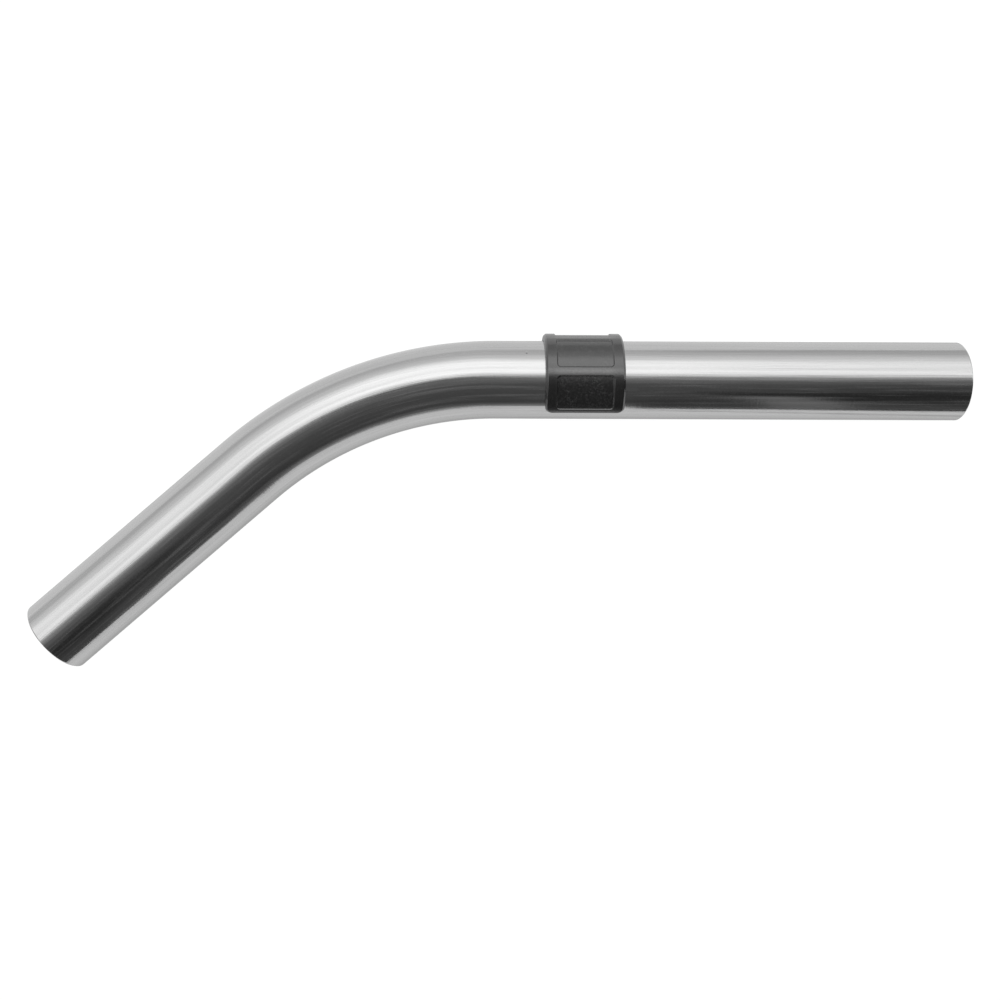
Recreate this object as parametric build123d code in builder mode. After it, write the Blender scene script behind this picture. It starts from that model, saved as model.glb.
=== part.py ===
from build123d import *

import os
from math import cos, degrees, isclose, radians, sin

# Curved vacuum wand: a bent stainless steel tube with a plastic airflow collar that turns on it.
# Millimetres. The origin is the centre of the straight end's mouth, and +X points out of it.
# The tube bends toward -Y in the XY plane, and +Z is up as the wand lies on its side.

# Bent tube
tube_diameter = 32.0
tube_wall = 1.0
straight_length = 189.4
bend_radius = 153.7
bend_angle = 40.8
leg_length = 105.3
end_chamfer = 0.3
bleed_hole_diameter = 12.0

# Airflow collar
collar_clearance = 0.05
collar_wall = 3.0
collar_length = 31.5
collar_from_mouth = 154.0
collar_wrap = 276.5
lip_corner = 3.0
rim_chamfer = 0.8
bore_chamfer = 0.5
panel_count = 5
panel_depth = 0.55
rim_width = 4.3
rib_width = 2.85
lip_width = 2.35
panel_corner = 1.6
step_run = 0.7
step_round = 0.8

# Sizes that follow from those above
tube_radius = tube_diameter / 2
tube_bore_radius = tube_radius - tube_wall
collar_bore_radius = tube_radius + collar_clearance
collar_radius = collar_bore_radius + collar_wall
floor_radius = collar_radius - panel_depth
step_drop = 0.8 * panel_depth
rib_angle = degrees(rib_width / collar_radius)
lip_angle = degrees(lip_width / collar_radius)
sector_angle = (collar_wrap - 2 * lip_angle + rib_angle) / panel_count
panel_length = collar_length - 2 * rim_width
panel_width = 2 * collar_radius * sin(radians((sector_angle - rib_angle) / 2))

os.makedirs("parts", exist_ok=True)

# The tube follows one line, a single bend and a shorter line.
with BuildPart() as bent_tube:
    with BuildLine(Plane.XY):
        straight = Line((0, 0), (-straight_length, 0))
        bend = JernArc(straight @ 1, straight % 1, bend_radius, bend_angle)
        PolarLine(bend @ 1, leg_length, direction=bend % 1)
    with BuildSketch(Plane.YZ):
        Circle(tube_radius)
        Circle(tube_bore_radius, mode=Mode.SUBTRACT)
    sweep()
    # Both square-cut ends are deburred inside and out.
    mouths = bent_tube.faces().filter_by(GeomType.PLANE)
    chamfer(mouths.edges(), end_chamfer)
    # The air-bleed hole is on the outside of the bend, under the middle of the collar.
    with BuildSketch(Plane((-collar_from_mouth, 0, 0), x_dir=(1, 0, 0), z_dir=(0, 1, 0))):
        Circle(bleed_hole_diameter / 2)
    extrude(amount=tube_diameter, mode=Mode.SUBTRACT)
bent_tube.part.label = "bent_tube"
export_step(bent_tube.part, "parts/bent_tube.step")

# The collar is a C-clip with its gap toward -Y. Its panels are spread evenly round its back.
lip_plane = Plane.XY.rotated((-collar_wrap / 2, 0, 0))
panel_planes = []
for number in range(panel_count):
    turn = radians((number - (panel_count - 1) / 2) * sector_angle)
    outward = (0, cos(turn), sin(turn))
    panel_planes.append(Plane((-collar_from_mouth, 0, 0), x_dir=(1, 0, 0), z_dir=outward))


def round_faces(builder, radius):
    cylinders = builder.faces().filter_by(GeomType.CYLINDER)
    return cylinders.filter_by(lambda face: isclose(face.radius, radius, abs_tol=0.001))


with BuildPart() as airflow_collar:
    # Outer skin, with a window for each recessed panel
    with BuildSketch(lip_plane):
        with Locations((-collar_from_mouth, collar_radius - panel_depth / 2)):
            Rectangle(collar_length, panel_depth)
    revolve(axis=Axis.X, revolution_arc=collar_wrap)
    with BuildSketch(*panel_planes):
        RectangleRounded(
            panel_length - 2 * step_run, panel_width - 2 * step_run, panel_corner - step_run
        )
    extrude(amount=2 * collar_radius, mode=Mode.SUBTRACT)
    # Plain ring under it, which makes the panel floors and the bore
    with BuildSketch(lip_plane):
        with Locations((-collar_from_mouth, (collar_bore_radius + floor_radius) / 2)):
            Rectangle(collar_length, floor_radius - collar_bore_radius)
    revolve(axis=Axis.X, revolution_arc=collar_wrap)
    # Rounded corners on both lips
    lip_edges = airflow_collar.edges().filter_by(GeomType.LINE)
    lip_edges = lip_edges.filter_by(lambda edge: isclose(edge.length, collar_wall, abs_tol=0.001))
    fillet(lip_edges, lip_corner)
    # Sloped and softened step round each panel
    skin = round_faces(airflow_collar, collar_radius)[0]
    window_edges = [edge for wire in skin.inner_wires() for edge in wire.edges()]
    chamfer(window_edges, length=step_run, length2=step_drop, reference=skin)
    skin = round_faces(airflow_collar, collar_radius)[0]
    fillet([edge for wire in skin.inner_wires() for edge in wire.edges()], step_round)
    # Eased edges outside and in, all the way round both ends and lips
    skin = round_faces(airflow_collar, collar_radius)[0]
    chamfer(skin.outer_wire().edges(), rim_chamfer)
    bore = round_faces(airflow_collar, collar_bore_radius)[0]
    chamfer(bore.outer_wire().edges(), bore_chamfer)
airflow_collar.part.label = "airflow_collar"
export_step(airflow_collar.part, "parts/airflow_collar.step")
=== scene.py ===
from math import acos, atan2, cos, hypot, pi, radians, sin, sqrt

import bpy
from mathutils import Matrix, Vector


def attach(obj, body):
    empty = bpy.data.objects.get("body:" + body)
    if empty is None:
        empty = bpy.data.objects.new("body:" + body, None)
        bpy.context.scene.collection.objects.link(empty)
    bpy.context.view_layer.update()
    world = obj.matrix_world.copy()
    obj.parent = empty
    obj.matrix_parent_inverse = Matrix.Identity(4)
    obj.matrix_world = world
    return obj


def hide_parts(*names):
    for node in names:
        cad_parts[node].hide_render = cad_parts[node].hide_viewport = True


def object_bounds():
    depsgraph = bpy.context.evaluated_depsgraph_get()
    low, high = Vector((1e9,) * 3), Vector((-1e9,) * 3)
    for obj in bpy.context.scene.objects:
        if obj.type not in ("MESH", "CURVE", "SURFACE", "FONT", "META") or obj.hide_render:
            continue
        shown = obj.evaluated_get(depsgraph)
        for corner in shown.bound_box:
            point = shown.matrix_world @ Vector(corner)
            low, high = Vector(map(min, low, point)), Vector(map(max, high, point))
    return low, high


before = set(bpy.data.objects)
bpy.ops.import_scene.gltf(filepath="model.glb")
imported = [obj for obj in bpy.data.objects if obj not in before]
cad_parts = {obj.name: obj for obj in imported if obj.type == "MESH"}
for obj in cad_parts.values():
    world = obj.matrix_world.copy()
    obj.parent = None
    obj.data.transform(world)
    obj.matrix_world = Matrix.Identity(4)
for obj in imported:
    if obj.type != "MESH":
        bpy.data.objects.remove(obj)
cad_low, cad_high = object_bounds()

scene = bpy.context.scene
MM = 0.001

# A curved vacuum wand: a bent steel tube, and a plastic collar that turns on its straight run.
# Sizes are in millimetres.

# Bent tube
TUBE_RADIUS = 16.0
BORE_RADIUS = 15.0
STRAIGHT = 189.4
BEND_RADIUS = 153.7
BEND_ANGLE = radians(40.8)
LEG = 105.3
END_EASE = 0.3
HOLE_RADIUS = 6.0
HOLE_EASE = 0.15

# Airflow collar
COLLAR_MIDDLE = 154.0
COLLAR_LENGTH = 31.5
COLLAR_RADIUS = 19.05
COLLAR_BORE = 16.05
COLLAR_WRAP = radians(276.5)
LIP_CORNER = 3.0
RIM_CHAMFER = 0.8
RIM_SOFTNESS = 0.2
BORE_EASE = 0.5
PANELS = 5
PANEL_DEPTH = 0.55
RIM_WIDTH = 4.3
RIB_WIDTH = 3.2
LIP_WIDTH = 2.35
PANEL_CORNER = 1.6

BEND_END = STRAIGHT + BEND_RADIUS * BEND_ANGLE
PATH_LENGTH = BEND_END + LEG


def new_object(name, points, faces):
    mesh = bpy.data.meshes.new(name)
    mesh.from_pydata([Vector(p) * MM for p in points], [], faces)
    made = bpy.data.objects.new(name, mesh)
    scene.collection.objects.link(made)
    return made


def new_piece(name, points, faces):
    piece = new_object(name, points, faces)
    piece.data.validate()
    for polygon in piece.data.polygons:
        polygon.use_smooth = True
    return piece


def store_points(piece, name, values):
    layer = piece.data.attributes.new(name, "FLOAT_VECTOR", "POINT")
    layer.data.foreach_set("vector", [c for value in values for c in value])


def store_numbers(piece, name, values):
    layer = piece.data.attributes.new(name, "FLOAT", "POINT")
    layer.data.foreach_set("value", list(values))


# The bent tube
def centre_line(s):
    """The point on the tube's axis s from the straight mouth, and the outward side there."""
    if s <= STRAIGHT:
        return (-s, 0.0), (0.0, 1.0)
    turn = min(s - STRAIGHT, BEND_END - STRAIGHT) / BEND_RADIUS
    x = -STRAIGHT - BEND_RADIUS * sin(turn)
    y = BEND_RADIUS * (cos(turn) - 1.0)
    rest = max(0.0, s - BEND_END)
    return (x - rest * cos(turn), y - rest * sin(turn)), (-sin(turn), cos(turn))


def on_tube(s, angle, radius):
    (x, y), (side_x, side_y) = centre_line(s)
    out = radius * sin(angle)
    return (x + out * side_x, y + out * side_y, radius * cos(angle))


def even(start, end, count):
    return [start + (end - start) * k / count for k in range(count + 1)]


# Rings of points along the tube: a few close to each mouth, then evenly spaced runs, with a finer
# patch round the drilled hole
ROUND = 128
MOUTH_RINGS = [END_EASE, 0.6, 1.2]
RUN_GAP = 5.0
STRAIGHT_STEPS = 24
SHORT_STEPS = 4
BEND_STEPS = 72
LEG_STEPS = 16
PATCH_HALF_TURNS = 11
PATCH_HALF_STEPS = 10
PATCH_HALF_LENGTH = 8.0
HOLE_RINGS = 4
HOLE_RING_SPACING = 0.8
# How much of a mouth's ease is left at the ring beside its flat face
FACE_RING = 0.1

STEP = 2 * pi / ROUND
SIDE = ROUND // 4
patch_from = COLLAR_MIDDLE - PATCH_HALF_LENGTH
patch_to = COLLAR_MIDDLE + PATCH_HALF_LENGTH
stations = (
    MOUTH_RINGS
    + even(RUN_GAP, patch_from - RUN_GAP, STRAIGHT_STEPS)
    + even(patch_from, patch_to, 2 * PATCH_HALF_STEPS)
    + even(patch_to + RUN_GAP, STRAIGHT, SHORT_STEPS)
    + even(STRAIGHT, BEND_END, BEND_STEPS)[1:]
    + even(BEND_END, PATH_LENGTH - RUN_GAP, LEG_STEPS)[1:]
    + [PATH_LENGTH - at for at in reversed(MOUTH_RINGS)]
)
patch_first = stations.index(patch_from)

tube_points, tube_unbent, tube_inside, tube_faces = [], [], [], []


def add_tube_point(s, angle, radius):
    tube_points.append(on_tube(s, angle, radius))
    tube_unbent.append((s, radius * sin(angle), radius * cos(angle)))
    tube_inside.append(float(radius <= BORE_RADIUS))
    return len(tube_points) - 1


def join_loops(first, second, flip):
    count = len(first)
    for k in range(count):
        quad = (first[k], first[(k + 1) % count], second[(k + 1) % count], second[k])
        tube_faces.append(quad[::-1] if flip else quad)


def hole_edge(turn, radius, hole):
    """A point of the drilled hole's edge, as a place along the tube and an angle round it."""
    return COLLAR_MIDDLE + hole * cos(turn), acos(hole * sin(turn) / radius)


def add_wall(radius, hole, inside):
    """One wall of the tube, with the drilled hole left open.

    Gives the wall's grid, the loop round the hole, and pairs of places from patch to hole.
    """
    grid = [[add_tube_point(s, k * STEP, radius) for k in range(ROUND)] for s in stations]
    low, high = SIDE - PATCH_HALF_TURNS, SIDE + PATCH_HALF_TURNS
    patch_last = patch_first + 2 * PATCH_HALF_STEPS
    for i in range(len(stations) - 1):
        for k in range(ROUND):
            if patch_first <= i < patch_last and low <= k < high:
                continue
            m = (k + 1) % ROUND
            quad = (grid[i][k], grid[i][m], grid[i + 1][m], grid[i + 1][k])
            tube_faces.append(quad[::-1] if inside else quad)
    around = [(i, low) for i in range(patch_first, patch_last)]
    around += [(patch_last, k) for k in range(low, high)]
    around += [(i, high) for i in range(patch_last, patch_first, -1)]
    around += [(patch_first, k) for k in range(high, low, -1)]
    places = []
    for i, k in around:
        arc = (k - SIDE) * STEP * radius
        turn = atan2(-arc, stations[i] - COLLAR_MIDDLE)
        places.append(((stations[i], k * STEP), hole_edge(turn, radius, hole)))
    loop = [grid[i][k] for i, k in around]
    for ring in range(1, HOLE_RINGS + 1):
        share = (ring / HOLE_RINGS) ** HOLE_RING_SPACING
        inner = []
        for (s0, a0), (s1, a1) in places:
            inner.append(add_tube_point(s0 + (s1 - s0) * share, a0 + (a1 - a0) * share, radius))
        join_loops(loop, inner, not inside)
        loop = inner
    return grid, loop, places


outer_grid, outer_loop, outer_places = add_wall(TUBE_RADIUS, HOLE_RADIUS + HOLE_EASE, False)
inner_grid, inner_loop, _ = add_wall(BORE_RADIUS, HOLE_RADIUS, True)

# The drilled hole's wall, with its outer edge eased
hole_loops = [outer_loop]
for radius in (TUBE_RADIUS - HOLE_EASE, (TUBE_RADIUS + BORE_RADIUS) / 2):
    loop = []
    for _, (along, angle) in outer_places:
        turn = atan2(TUBE_RADIUS * cos(angle), along - COLLAR_MIDDLE)
        s, angle = hole_edge(turn, radius, HOLE_RADIUS)
        loop.append(add_tube_point(s, angle, radius))
    hole_loops.append(loop)
hole_loops.append(inner_loop)
for first, second in zip(hole_loops, hole_loops[1:]):
    join_loops(first, second, True)


# Deburred square-cut mouths
def add_mouth(outer, inner, end, into):
    loops = [outer]
    depth_left, radius_gone = END_EASE * FACE_RING, END_EASE * (1 - FACE_RING)
    profile = [
        (depth_left, TUBE_RADIUS - radius_gone),
        (0.0, TUBE_RADIUS - END_EASE),
        (0.0, BORE_RADIUS + END_EASE),
        (depth_left, BORE_RADIUS + radius_gone),
    ]
    for depth, radius in profile:
        s = end + into * depth
        loops.append([add_tube_point(s, k * STEP, radius) for k in range(ROUND)])
    loops.append(inner)
    for first, second in zip(loops, loops[1:]):
        join_loops(first, second, into > 0)


add_mouth(outer_grid[0], inner_grid[0], 0.0, 1.0)
add_mouth(outer_grid[-1], inner_grid[-1], PATH_LENGTH, -1.0)

tube = new_piece("steel_tube", tube_points, tube_faces)
store_points(tube, "unbent", tube_unbent)
store_numbers(tube, "inside", tube_inside)
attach(tube, "tube")
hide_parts("bent_tube")


# The airflow collar
HALF_LENGTH = COLLAR_LENGTH / 2
HALF_WRAP = COLLAR_WRAP / 2 * COLLAR_RADIUS
SECTOR = (2 * HALF_WRAP - 2 * LIP_WIDTH + RIB_WIDTH) / PANELS
PANEL_HALF_LENGTH = HALF_LENGTH - RIM_WIDTH
PANEL_HALF_WIDTH = (SECTOR - RIB_WIDTH) / 2
LAST_PANEL = (PANELS - 1) // 2
# The step down to a panel's floor, measured from the panel's outline
STEP_FROM, STEP_TO = -0.01, -0.55
# How far the painted highlight on a rib reaches to each side of its middle, and how much of it the
# rims get
RIB_HIGHLIGHT_REACH = 1.6
RIM_HIGHLIGHT = 0.4
# How much grain shows in each panel
PANEL_GRAIN = (1.0, 0.4, 0.6, 0.8, 1.0)
# Where the lighter edge tone, partly wear and partly a painted highlight, is greatest, from a
# panel's outline and from the collar's, and how far it spreads
STEP_WEAR_AND_HIGHLIGHT, STEP_WEAR_AND_HIGHLIGHT_SPREAD = 0.1, 0.4
EDGE_WEAR_AND_HIGHLIGHT, EDGE_WEAR_AND_HIGHLIGHT_SPREAD = 0.3, 0.7
# How far apart points are near a step and elsewhere, and how far a step's band goes
FINE, COARSE = 0.11, 0.5
BAND_OUTSIDE, BAND_INSIDE = -0.3, 1.8
END_BAND = 1.2
LIP_COLUMNS = 40
WALL_START = 0.15
EASE_TURNS = (pi / 6, pi / 3, pi / 2)


def half_length_at(across):
    """Half the collar's length at a place round it: less within the rounded corners of a lip."""
    past = abs(across) - (HALF_WRAP - LIP_CORNER)
    if past <= 0:
        return HALF_LENGTH
    return HALF_LENGTH - LIP_CORNER + sqrt(max(0.0, LIP_CORNER**2 - min(past, LIP_CORNER) ** 2))


def rounded_box(x, y, half_x, half_y, corner):
    """Signed distance from a rounded rectangle's outline, negative inside it."""
    dx, dy = abs(x) - half_x + corner, abs(y) - half_y + corner
    return hypot(max(dx, 0.0), max(dy, 0.0)) + min(max(dx, dy), 0.0) - corner


def edge_distance(along, across):
    """How far inside the collar's outline a place is."""
    return -rounded_box(along, across, HALF_LENGTH, HALF_WRAP, LIP_CORNER)


def panel_number(across):
    """The nearest panel, counted from the middle one."""
    return max(-LAST_PANEL, min(LAST_PANEL, round(across / SECTOR)))


def place_in_sector(across):
    return across - SECTOR * panel_number(across)


def panel_distance(along, across):
    place = place_in_sector(across)
    return rounded_box(along, place, PANEL_HALF_LENGTH, PANEL_HALF_WIDTH, PANEL_CORNER)


def sunk(along, across):
    """How far down the step to a panel's floor a place is, from 0 to 1."""
    share = (STEP_FROM - panel_distance(along, across)) / (STEP_FROM - STEP_TO)
    share = min(1.0, max(0.0, share))
    return share * share * (3 - 2 * share)


def skin_radius(along, across):
    edge = edge_distance(along, across)
    drop = max(0.0, RIM_CHAMFER - edge)
    if abs(RIM_CHAMFER - edge) < RIM_SOFTNESS:
        drop = (RIM_CHAMFER - edge + RIM_SOFTNESS) ** 2 / (4 * RIM_SOFTNESS)
    return COLLAR_RADIUS - drop - PANEL_DEPTH * sunk(along, across)


def worn(along, across):
    """How much lighter tone the edges get here, partly wear and partly a painted highlight: along
    the steps and round the outline.
    """
    step = 1.0 - abs(panel_distance(along, across) - STEP_WEAR_AND_HIGHLIGHT) / STEP_WEAR_AND_HIGHLIGHT_SPREAD
    edge = 1.0 - abs(edge_distance(along, across) - EDGE_WEAR_AND_HIGHLIGHT) / EDGE_WEAR_AND_HIGHLIGHT_SPREAD
    return max(step, edge, 0.0)


def rub(along, across):
    """How much painted highlight a rib or lip gets here: most in its middle, less on the rims."""
    aside = abs(abs(place_in_sector(across)) - SECTOR / 2)
    inside = min(1.0, max(0.0, PANEL_HALF_LENGTH + RIB_HIGHLIGHT_REACH - abs(along)) / (2 * RIB_HIGHLIGHT_REACH))
    return max(0.0, 1.0 - aside / RIB_HIGHLIGHT_REACH) * (RIM_HIGHLIGHT + (1.0 - RIM_HIGHLIGHT) * inside)


def grain_share(along, across):
    """How much a panel's floor shows its grain here: most in the panels beside the lips."""
    return sunk(along, across) * PANEL_GRAIN[panel_number(across) + LAST_PANEL]


def near_side(across):
    """Whether a place is near the long step along a panel."""
    return BAND_OUTSIDE < PANEL_HALF_WIDTH - abs(place_in_sector(across)) < BAND_INSIDE


def near_end(along):
    """Whether a place is near the short step across a panel, or near the collar's own end."""
    if HALF_LENGTH - abs(along) < END_BAND:
        return True
    return BAND_OUTSIDE < PANEL_HALF_LENGTH - abs(along) < BAND_INSIDE


def spaced(half, near):
    """Places from -half to half, close together wherever near says so."""
    side = [0.0]
    while side[-1] < half:
        at = side[-1]
        step = FINE if near(at) or near(at + COARSE) else COARSE
        side.append(min(half, at + step))
    return [-at for at in side[:0:-1]] + side


collar_points, collar_local, collar_faces = [], [], []
collar_wear_and_highlight, collar_rib_highlight, collar_grain = [], [], []


def add_collar_point(along, across, radius, wear_and_highlight_share):
    angle = pi / 2 + across / COLLAR_RADIUS
    collar_points.append((along - COLLAR_MIDDLE, radius * sin(angle), radius * cos(angle)))
    collar_local.append((along, across, radius - COLLAR_BORE))
    collar_wear_and_highlight.append(wear_and_highlight_share)
    collar_rib_highlight.append(rub(along, across))
    collar_grain.append(grain_share(along, across))
    return len(collar_points) - 1


tip = [sin(k * pi / 2 / LIP_COLUMNS) for k in range(1, LIP_COLUMNS + 1)]
tip = [HALF_WRAP - LIP_CORNER + LIP_CORNER * share for share in tip]
columns = [-at for at in tip[::-1]] + spaced(HALF_WRAP - LIP_CORNER, near_side) + tip
rows = [at / HALF_LENGTH for at in spaced(HALF_LENGTH, near_end)]
last_column, last_row = len(columns) - 1, len(rows) - 1
skin = []
for across in columns:
    half = half_length_at(across)
    line = []
    for row in rows:
        along = row * half
        radius = skin_radius(along, across)
        line.append(add_collar_point(along, across, radius, worn(along, across)))
    skin.append(line)
for i in range(last_column):
    for k in range(last_row):
        collar_faces.append((skin[i][k], skin[i][k + 1], skin[i + 1][k + 1], skin[i + 1][k]))

border = [(0, k) for k in range(last_row)]
border += [(i, last_row) for i in range(last_column)]
border += [(last_column, k) for k in range(last_row, 0, -1)]
border += [(i, 0) for i in range(last_column, 0, -1)]


def border_loop(radius, inset):
    """A loop just inside the collar's outline, at one radius."""
    scale = (LIP_CORNER - inset) / LIP_CORNER
    core_x, core_y = HALF_LENGTH - LIP_CORNER, HALF_WRAP - LIP_CORNER
    loop = []
    for i, k in border:
        across, along = columns[i], rows[k] * half_length_at(columns[i])
        dx = max(-core_x, min(core_x, along))
        dy = max(-core_y, min(core_y, across))
        along, across = dx + (along - dx) * scale, dy + (across - dy) * scale
        loop.append(add_collar_point(along, across, radius, 0.0))
    return loop


# The wall round the collar, and its eased edge at the bore
loops = [[skin[i][k] for i, k in border]]
wall_top, wall_bottom = COLLAR_RADIUS - RIM_CHAMFER, COLLAR_BORE + BORE_EASE
for radius in (wall_top - WALL_START, (wall_top + wall_bottom) / 2, wall_bottom):
    loops.append(border_loop(radius, 0.0))
for turn in EASE_TURNS:
    ease = BORE_EASE * (1 - cos(turn))
    loops.append(border_loop(wall_bottom - BORE_EASE * sin(turn), ease))
for first, second in zip(loops, loops[1:]):
    for k in range(len(first)):
        m = (k + 1) % len(first)
        collar_faces.append((first[k], second[k], second[m], first[m]))

# The bore, in strips along the tube from one end of the collar to the other
bore = dict(zip(border, loops[-1]))
for i in range(1, last_column - 1):
    collar_faces.append((bore[i, 0], bore[i + 1, 0], bore[i + 1, last_row], bore[i, last_row]))
first_lip = [bore[0, k] for k in reversed(range(len(rows)))]
collar_faces.append([bore[1, last_row]] + first_lip + [bore[1, 0]])
last_lip = [bore[last_column, k] for k in range(len(rows))]
collar_faces.append([bore[last_column - 1, 0]] + last_lip + [bore[last_column - 1, last_row]])

collar = new_piece("plastic_collar", collar_points, collar_faces)
store_points(collar, "moulding", collar_local)
# How much lighter edge tone each point gets, partly wear and partly a painted highlight
store_numbers(collar, "wear_and_highlight", collar_wear_and_highlight)
# How much painted highlight, a lighter grey in the colour, each rib gets
store_numbers(collar, "painted_rib_highlight", collar_rib_highlight)
store_numbers(collar, "grained", collar_grain)
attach(collar, "collar")
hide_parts("airflow_collar")


# Materials
class Nodes:
    """A material or world's nodes, made and linked in short lines."""

    def __init__(self, owner):
        owner.use_nodes = True
        self.tree = owner.node_tree
        self.tree.nodes.clear()

    def add(self, kind, settings=None, **inputs):
        node = self.tree.nodes.new("ShaderNode" + kind)
        for key, value in (settings or {}).items():
            setattr(node, key, value)
        for key, value in inputs.items():
            self.put(node, key.replace("_", " "), value)
        return node

    def put(self, node, key, value):
        socket = node.inputs[int(key)] if key.isdigit() else node.inputs[key]
        if isinstance(value, bpy.types.NodeSocket):
            self.tree.links.new(value, socket)
        else:
            socket.default_value = value

    def put_all(self, node, *values):
        for k, value in enumerate(values):
            self.put(node, str(k), value)
        return node.outputs

    def math(self, operation, first, second=0.0, third=0.0):
        node = self.add("Math", {"operation": operation})
        return self.put_all(node, first, second, third)[0]

    def vectors(self, operation, first, second):
        node = self.add("VectorMath", {"operation": operation})
        return self.put_all(node, first, second)

    def mix(self, share, first, second):
        return self.put_all(self.add("MixRGB"), share, first, second)[0]

    def span(self, value, from_low, from_high, to_low, to_high, kind="LINEAR"):
        node = self.add("MapRange", {"interpolation_type": kind})
        return self.put_all(node, value, from_low, from_high, to_low, to_high)[0]

    def noise(self, vector, scale, detail, roughness):
        node = self.add("TexNoise", Vector=vector, Scale=scale, Detail=detail, Roughness=roughness)
        return node.outputs["Fac"]

    def stretched_noise(self, vector, scales, detail, roughness):
        vector = self.vectors("MULTIPLY", vector, scales)["Vector"]
        return self.noise(vector, 1.0, detail, roughness)

    def attribute(self, name):
        return self.add("Attribute", {"attribute_name": name}).outputs

    def bump(self, distance, height):
        return self.add("Bump", Strength=1.0, Distance=distance, Height=height).outputs[0]

    def surface(self, kind, shader):
        self.put(self.add(kind), "Surface", shader.outputs[0])


def grey(value):
    return (value, value, value, 1.0)


# Each noise below has its scale per millimetre, its detail and its roughness. A stretched one has
# three scales, the first along the tube. Most of any noise lies within USUAL.
USUAL = (0.3, 0.7)

# Satin stainless steel, polished outside and dull in the bore
STEEL = 0.44
STEEL_VARIES = 0.05
DRAWN = ((0.02, 1.1, 1.1), 4.0, 0.6)
POLISH = ((1.2, 0.2, 0.2), 3.0, 0.6)
WAVE = ((0.03, 0.1, 0.1), 2.0, 0.5)
STREAK = ((0.02, 0.8, 0.8), 4.0, 0.6)
DUST = (1.1, 3.0, 0.65)
SMUDGE = (0.045, 3.0, 0.55)
POLISH_HEIGHT, WAVE_HEIGHT = 0.5, 1.5
STEEL_BUMP = 3.0e-5
SMUDGE_ROUGHNESS = (0.11, 0.14)
DRAWN_ROUGHNESS = (-0.02, 0.02)
BORE_ROUGHNESS = 0.28
# The thin film of dust and streaks, which shows where their noise is high
FILM_SHOWS = (0.5, 0.7)
DUST_FILM, STREAK_FILM, BORE_FILM = 0.03, 0.14, 0.15
# One small nick beside the collar: its place, the reach of its floor and of its rim, and its look
NICK = (177.15, 10.3, 12.25)
NICK_REACH = (0.25, 0.55)
NICK_HEIGHT = -4.0
NICK_TONE = 0.12
steel = bpy.data.materials.new("satin_stainless_steel")
n = Nodes(steel)
unbent = n.attribute("unbent")["Vector"]
inside = n.attribute("inside")["Fac"]
drawn = n.stretched_noise(unbent, *DRAWN)
polish = n.stretched_noise(unbent, *POLISH)
wave = n.stretched_noise(unbent, *WAVE)
streak = n.stretched_noise(unbent, *STREAK)
dust = n.noise(unbent, *DUST)
smudge = n.noise(unbent, *SMUDGE)
nicked = n.span(n.vectors("DISTANCE", unbent, NICK)["Value"], *NICK_REACH, 1.0, 0.0)
height = n.math("MULTIPLY_ADD", polish, POLISH_HEIGHT, drawn)
height = n.math("MULTIPLY_ADD", wave, WAVE_HEIGHT, height)
height = n.math("MULTIPLY_ADD", nicked, NICK_HEIGHT, height)
rough = n.span(smudge, *USUAL, *SMUDGE_ROUGHNESS)
rough = n.math("ADD", rough, n.span(drawn, *USUAL, *DRAWN_ROUGHNESS))
rough = n.math("MULTIPLY_ADD", inside, BORE_ROUGHNESS, rough)
light_steel, dark_steel = grey(STEEL * (1 + STEEL_VARIES)), grey(STEEL * (1 - STEEL_VARIES))
tone = n.mix(n.span(drawn, *USUAL, 0.0, 1.0), dark_steel, light_steel)
tone = n.mix(nicked, tone, grey(NICK_TONE))
film = n.span(dust, *FILM_SHOWS, 0.0, DUST_FILM)
film = n.math("ADD", film, n.span(streak, *FILM_SHOWS, 0.0, STREAK_FILM))
film = n.math("MULTIPLY_ADD", inside, BORE_FILM, film)
shader = n.add("BsdfPrincipled", Base_Color=tone, Roughness=rough)
n.put(shader, "Metallic", n.math("SUBTRACT", 1.0, film))
n.put(shader, "Normal", n.bump(STEEL_BUMP, height))
n.surface("OutputMaterial", shader)
tube.data.materials.append(steel)

# Black moulded plastic, with a fine grain that a slower flow makes patchy
GRAIN = (1.1, 3.0, 0.65)
FLOW = (0.22, 3.0, 0.55)
PLASTIC_BUMP = 2.0e-5
FLOW_ROUGHNESS = (0.12, 0.15)
GRAIN_ROUGHNESS = 0.02
# Pale specks: the grain that makes them, the flow that thins them out, and how much is left of
# them on ribs and rims
SPECK_GRAIN = (0.46, 0.66)
SPECK_FLOW = (0.38, 0.62)
SPECK_SHARE = (0.35, 1.15)
RIB_SPECKS = 0.25
# Of these tones, the third is a lighter edge tone, partly wear and partly a painted highlight, and
# the fourth a painted highlight on the ribs
PLASTIC, SPECK, WEAR_AND_HIGHLIGHT_TONE, RIB_HIGHLIGHT_TONE = grey(0.009), grey(0.04), grey(0.02), grey(0.115)
WEAR_AND_HIGHLIGHT_SHOWS = 0.6
RIB_HIGHLIGHT_SHOWS = (0.6, 1.0)
PLASTIC_IOR = 1.6
PLASTIC_SPECULAR = 0.75
plastic = bpy.data.materials.new("black_moulded_plastic")
n = Nodes(plastic)
moulding = n.attribute("moulding")["Vector"]
wear_and_highlight = n.attribute("wear_and_highlight")["Fac"]
painted_rib_highlight = n.attribute("painted_rib_highlight")["Fac"]
grained = n.attribute("grained")["Fac"]
grain = n.noise(moulding, *GRAIN)
flow = n.noise(moulding, *FLOW)
rough = n.span(flow, *USUAL, *FLOW_ROUGHNESS)
rough = n.math("MULTIPLY_ADD", grained, GRAIN_ROUGHNESS, rough)
speckle = n.span(grain, *SPECK_GRAIN, 0.0, 1.0)
speckle = n.math("MULTIPLY", speckle, n.span(flow, *SPECK_FLOW, *SPECK_SHARE))
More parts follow.
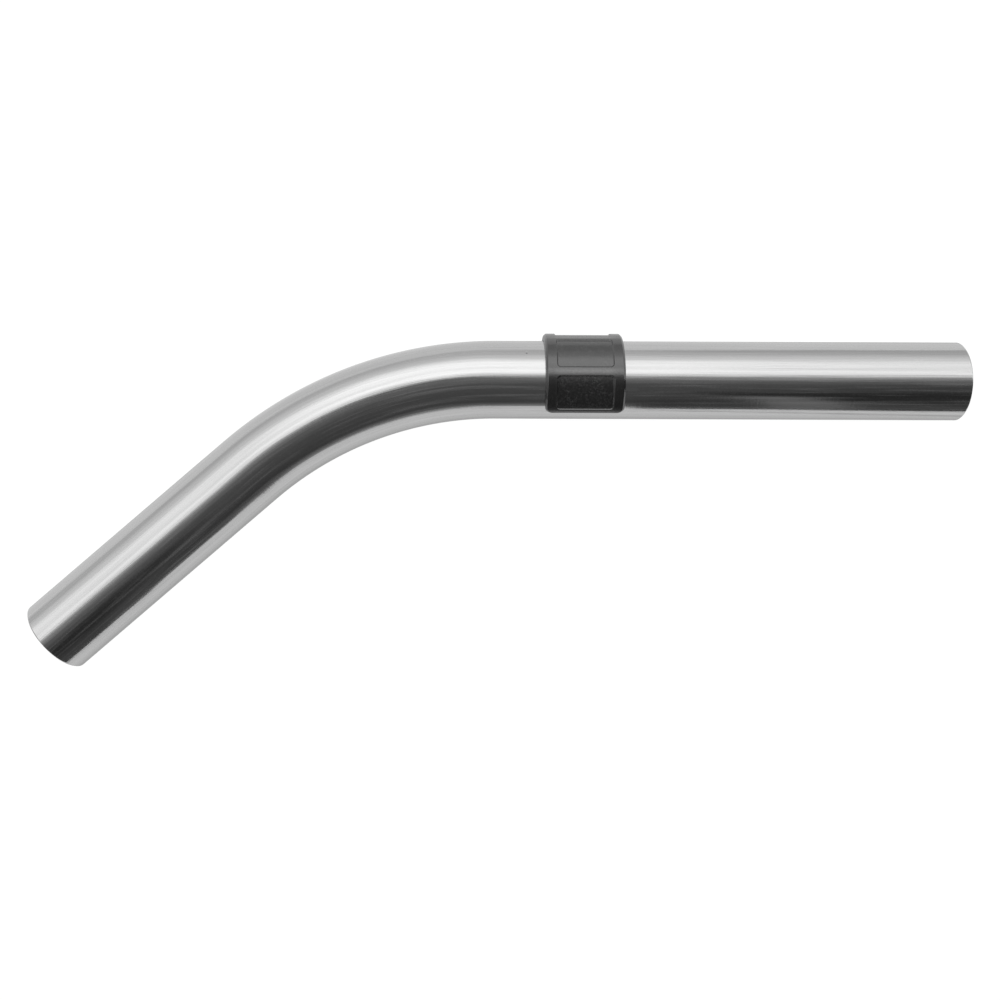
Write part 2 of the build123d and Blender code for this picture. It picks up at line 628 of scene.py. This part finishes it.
speckle = n.math("MULTIPLY", speckle, n.span(grained, 0.0, 1.0, RIB_SPECKS, 1.0))
tone = n.mix(speckle, PLASTIC, SPECK)
# Lighter edges along the steps and round the outline: partly wear, partly a painted highlight
tone = n.mix(n.math("MULTIPLY", wear_and_highlight, WEAR_AND_HIGHLIGHT_SHOWS), tone, WEAR_AND_HIGHLIGHT_TONE)
# Lighter ribs: a painted highlight, lighter grey put into the colour along each rib's middle
rib_highlight_share = n.math("MULTIPLY", painted_rib_highlight, n.span(grain, *USUAL, *RIB_HIGHLIGHT_SHOWS))
tone = n.mix(rib_highlight_share, tone, RIB_HIGHLIGHT_TONE)
shader = n.add("BsdfPrincipled", Base_Color=tone, Roughness=rough)
n.put(shader, "IOR", PLASTIC_IOR)
n.put(shader, "Specular IOR Level", PLASTIC_SPECULAR)
n.put(shader, "Normal", n.bump(PLASTIC_BUMP, grain))
n.surface("OutputMaterial", shader)
collar.data.materials.append(plastic)


# Stage
# The floor is plain white. The wand mirrors only the part of it that was lit, which is a sheet of
# its own, brighter on the light's side of the tube and in shade on the other.
FLOOR_REACH = 6000
FLOOR_TONE = 0.05
FLOOR_ROUGHNESS = 0.9
LIT_OUTLINE = (
    (130, 0), (60, 60), (8, 104), (-25, 160), (-90, 230), (-160, 290), (-200, 420), (-430, 420),
    (-540, 60), (-640, -250), (-1500, -1500), (-30, -1500), (-40, -384), (-4, -300), (14, -215),
    (40, -150), (130, -140),
)
LIT_GLOW = 1.05
# Pairs of an offset from the tube's axis and how bright the sheet is there
SHADE_SIDE = (
    (-60, 1.0), (-44, 0.92), (-36, 0.83), (-30, 0.68), (-25, 0.57), (-16, 0.5), (-8, 0.5),
)
LIGHT_SIDE = (
    (8, 0.6), (19, 0.66), (23, 0.78), (28, 0.9), (36, 0.98), (60, 1.03), (140, 1.05),
)
# How far the shade of each side is deepened along the tube
SHADE_SIDE_ALONG = ((0, 1.0), (PATH_LENGTH, 1.0))
LIGHT_SIDE_ALONG = (
    (-60, 2.0), (20, 1.8), (60, 1.45), (100, 1.1), (132, 1.2), (142, 1.9), (166, 1.9), (176, 1.2),
    (196, 1.0), (230, 0.5), (278, 0.35), (320, 1.8), (470, 1.6),
)
STRIP_LIFT = 0.2
STRIP_OVERRUN = 60
# Faint lines on the floor in front of the wand: how bright each is, and its edges from end to end
FLOOR_LINES = {
    "straight_line": (0.72, (
        ((20, -42), (26, -56)), ((0, -50), (6, -64)), ((-22, -58), (-14, -74)),
        ((-45, -74), (-36, -92)), ((-68, -92), (-58, -114)), ((-90, -118), (-78, -148)),
        ((-104, -165), (-88, -200)), ((-106, -260), (-88, -300)),
    )),
    "leg_line": (0.86, (
        ((-209, -204), (-191, -226)), ((-252, -210), (-234, -232)), ((-282, -237), (-264, -259)),
        ((-309, -247), (-291, -269)), ((-349, -251), (-331, -273)),
    )),
}
# Upright cards across the room from the light: how far away, then rows from low to high, each with
# places along X and how bright the card is there
CARDS = {
    "low_card": (-400, (
        (-16, ((-195, 1.05), (-75, 1.05))),
        (25, ((-190, 1.0), (-78, 1.0))),
        (50, ((-190, 0.45), (-78, 0.45))),
        (90, ((-190, 0.19), (-78, 0.19))),
        (140, ((-190, 0.12), (-78, 0.12))),
    )),
    "leg_card": (-250, (
        (17, ((-290, 0.3), (-188, 0.45))),
        (30, ((-290, 0.12), (-188, 0.15))),
        (60, ((-290, 0.11), (-188, 0.11))),
    )),
    "pale_card": (-400, (
        (-16, ((28, 0.19), (98, 0.19))),
        (130, ((33, 0.25), (96, 0.25))),
        (350, ((40, 0.22), (92, 0.22))),
    )),
    "dark_card": (-405, (
        (-16, ((98, 0.12), (330, 0.12))),
        (90, ((98, 0.08), (330, 0.08))),
        (200, ((98, 0.045), (330, 0.045))),
        (349, ((98, 0.035), (330, 0.035))),
        (351, ((60, 0.035), (330, 0.035))),
        (540, ((20, 0.05), (330, 0.05))),
    )),
    "left_card": (-410, (
        (130, ((-420, 0.07), (-260, 0.08), (-200, 0.125))),
        (260, ((-420, 0.035), (-260, 0.045), (-200, 0.1))),
        (430, ((-420, 0.045), (-260, 0.05), (-200, 0.09))),
        (640, ((-420, 0.085), (-260, 0.085), (-200, 0.095))),
    )),
    "mid_card": (-410, (
        (60, ((-78, 0.09), (-50, 0.075), (26, 0.085))),
        (200, ((-78, 0.085), (-50, 0.06), (26, 0.07))),
        (330, ((-78, 0.1), (-50, 0.085), (26, 0.1))),
    )),
}
floor_z = cad_low.z / MM
strip_z = floor_z + STRIP_LIFT
line_z = strip_z + STRIP_LIFT

white = bpy.data.materials.new("white_floor")
n = Nodes(white)
shader = n.add("BsdfPrincipled", Base_Color=grey(FLOOR_TONE), Roughness=FLOOR_ROUGHNESS)
n.put(shader, "Specular IOR Level", 0.0)
n.put(shader, "Emission Color", grey(1.0))
n.put(shader, "Emission Strength", 1.0)
n.surface("OutputMaterial", shader)

lit_floor = bpy.data.materials.new("lit_floor")
n = Nodes(lit_floor)
shader = n.add("Emission", Strength=n.attribute("glow")["Fac"])
n.surface("OutputMaterial", shader)


def add_stage(name, points, faces, material):
    piece = new_object(name, points, faces)
    piece.data.materials.append(material)
    return piece


def add_mirrored(name, points, faces, glow):
    """A sheet that only the wand mirrors, and how bright each of its points is."""
    piece = add_stage(name, points, faces, lit_floor)
    piece.visible_camera = False
    piece.visible_diffuse = False
    piece.visible_shadow = False
    store_numbers(piece, "glow", glow)


def add_mirrored_grid(name, rows):
    """A mirrored sheet of quads, from equal rows of a place and how bright it is there."""
    wide = len(rows[0])
    points = [place for row in rows for place, bright in row]
    glow = [bright for row in rows for place, bright in row]
    faces = []
    for i in range(len(rows) - 1):
        for k in range(i * wide, (i + 1) * wide - 1):
            faces.append((k, k + 1, k + wide + 1, k + wide))
    add_mirrored(name, points, faces, glow)


def between(pairs, at):
    """The value at a place, from pairs of a place and a value."""
    for (start, first), (end, second) in zip(pairs, pairs[1:]):
        if at <= end:
            return first + (second - first) * (at - start) / (end - start)
    return pairs[-1][1]


def strip_rows(offsets, deepen):
    """Rows of a strip beside the tube, from pairs of an offset and how bright the strip is there."""
    strip = []
    for s in [-STRIP_OVERRUN] + stations + [PATH_LENGTH + STRIP_OVERRUN]:
        (x, y), (side_x, side_y) = centre_line(s)
        row = []
        for offset, bright in offsets:
            place = (x + offset * side_x, y + offset * side_y, strip_z)
            row.append((place, 1.0 + (bright - 1.0) * between(deepen, s)))
        strip.append(row)
    return strip


corners = [(-FLOOR_REACH, -FLOOR_REACH), (FLOOR_REACH, -FLOOR_REACH)]
corners += [(FLOOR_REACH, FLOOR_REACH), (-FLOOR_REACH, FLOOR_REACH)]
floor = add_stage("floor", [(x, y, floor_z) for x, y in corners], [(0, 1, 2, 3)], white)
floor.visible_glossy = False

lit_points = [(x, y, floor_z) for x, y in LIT_OUTLINE]
lit_face = list(range(len(lit_points)))
add_mirrored("lit_sheet", lit_points, [lit_face], [LIT_GLOW] * len(lit_points))
add_mirrored_grid("shade_side", strip_rows(SHADE_SIDE, SHADE_SIDE_ALONG))
add_mirrored_grid("light_side", strip_rows(LIGHT_SIDE, LIGHT_SIDE_ALONG))
for name, (bright, ends) in FLOOR_LINES.items():
    add_mirrored_grid(name, [[((x, y, line_z), bright) for x, y in edges] for edges in ends])
for name, (away, card) in CARDS.items():
    add_mirrored_grid(name, [[((x, away, z), bright) for x, bright in row] for z, row in card])

# Soft light from overhead and behind, with the near side of the room dark. Each pair is an angle
# from overhead toward the light side, in degrees, and how bright the room is there.
ROOM = (
    (-90, 0.115), (-68, 0.09), (-46, 0.1), (-26, 0.115), (-14, 0.135), (-4, 0.225), (4, 0.385),
    (9, 0.7), (13, 1.25), (17, 1.6), (24, 1.86), (31, 1.45), (39, 1.64), (48, 1.68), (56, 1.6),
    (61, 1.28), (72, 1.08), (80, 0.88), (90, 0.8),
)
ROOM_SCALE = 2.0
LEG_SIDE = (-sin(BEND_ANGLE), cos(BEND_ANGLE), 0.0)
LEG_LAG = 0.03
LEAST_HEIGHT = 0.0001
# The near side of the room is darker at its right-hand end: where that starts and is full, by how
# much, and the angles over which the near side ends
DIM_ALONG = (0.22, 0.4)
DIM_CHANGE = -0.3
NEAR_SIDE_ENDS = (radians(-20), radians(5))
# Brighter and darker patches of the room, such as the camera above the wand: the direction to each,
# how near to it the change is full, how far from it there is none, and the change
PATCHES = (
    ((-0.1, 0.59, 0.8), 0.1, 0.6, 1.28),
    ((-0.08, 0.07, 0.994), 0.08, 0.2, 0.55),
    ((-0.9, -0.3, 0.35), 0.25, 0.5, 0.38),
    ((0.4, 0.9, -0.2), 0.15, 0.4, 0.88),
)
world = bpy.data.worlds.new("studio")
scene.world = world
n = Nodes(world)
direction = n.add("TexCoord").outputs["Generated"]
axes = n.add("SeparateXYZ", Vector=direction).outputs
leg_side = n.vectors("DOT_PRODUCT", direction, LEG_SIDE)["Value"]
sideways = n.math("MAXIMUM", axes["Y"], n.math("SUBTRACT", leg_side, LEG_LAG))
tilt = n.math("ARCTAN2", sideways, n.math("MAXIMUM", axes["Z"], LEAST_HEIGHT))
ramp = n.add("ValToRGB", Fac=n.span(tilt, -pi / 2, pi / 2, 0.0, 1.0))
stops = ramp.color_ramp.elements
for degrees, bright in ROOM:
    share = (degrees + 90) / 180
    if share == 0.0:
        stop = stops[0]
    elif share == 1.0:
        stop = stops[len(stops) - 1]
    else:
        stop = stops.new(share)
    stop.color = grey(bright / ROOM_SCALE)
dim = n.span(axes["X"], *DIM_ALONG, 0.0, DIM_CHANGE)
near_half = n.span(tilt, *NEAR_SIDE_ENDS, 1.0, 0.0)
strength = n.math("MULTIPLY", n.math("MULTIPLY_ADD", dim, near_half, 1.0), ROOM_SCALE)
for place, inner, outer, change in PATCHES:
    away = n.vectors("DISTANCE", direction, place)["Value"]
    patch = n.span(away, inner, outer, change, 1.0, "SMOOTHSTEP")
    strength = n.math("MULTIPLY", strength, patch)
room = n.add("Background", Color=ramp.outputs[0], Strength=strength)
backdrop = n.add("Background", Color=grey(1.0), Strength=1.0)
studio = n.add("MixShader", Fac=n.add("LightPath").outputs["Is Camera Ray"])
n.put(studio, "1", room.outputs[0])
n.put(studio, "2", backdrop.outputs[0])
n.surface("OutputWorld", studio)

scene.view_settings.view_transform = "Standard"
scene.view_settings.look = "None"

# Camera, in metres and in shares of the image
FOCAL_PIXELS, IMAGE_PIXELS, SENSOR = 1039.9, 1000, 36.0
CAMERA_PLACE = (-0.19901, -0.0160, 0.42846)
CAMERA_ROLL = radians(0.219)
CAMERA_SHIFT = (0.0282, -0.0815)
CAMERA_CLIP = (0.01, 20.0)
lens = bpy.data.cameras.new("camera")
lens.sensor_width = SENSOR
lens.lens = FOCAL_PIXELS / IMAGE_PIXELS * SENSOR
lens.clip_start, lens.clip_end = CAMERA_CLIP
lens.shift_x, lens.shift_y = CAMERA_SHIFT
camera = bpy.data.objects.new("camera", lens)
camera.location = CAMERA_PLACE
camera.rotation_euler = (0.0, 0.0, CAMERA_ROLL)
scene.collection.objects.link(camera)
scene.camera = camera

bpy.context.view_layer.update()
